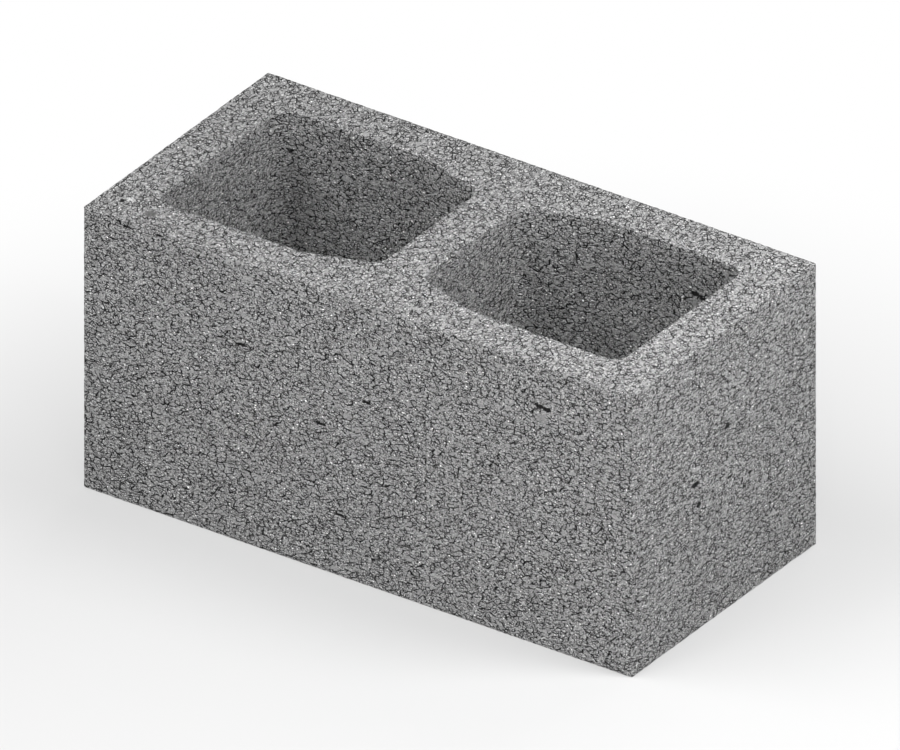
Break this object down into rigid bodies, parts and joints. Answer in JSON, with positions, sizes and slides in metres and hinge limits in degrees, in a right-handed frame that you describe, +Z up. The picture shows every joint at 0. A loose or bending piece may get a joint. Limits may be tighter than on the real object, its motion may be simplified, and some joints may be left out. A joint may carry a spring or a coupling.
{
  "type": "concrete block",
  "caption": "Hollow concrete masonry block with open through cores, flared face shells beside the centre web and flat faces to lay in a wall.",
  "frame": {"origin": "middle of the underside, on the surface that the block stands on", "axes": "+X along the block's length, +Y through its width, +Z up out of the open cores"},
  "size_m": [0.39, 0.19, 0.19],
  "materials": {
    "concrete": "matte"
  },
  "bodies": {
    "root": {"concrete_block": "concrete"}
  },
  "joints": []
}
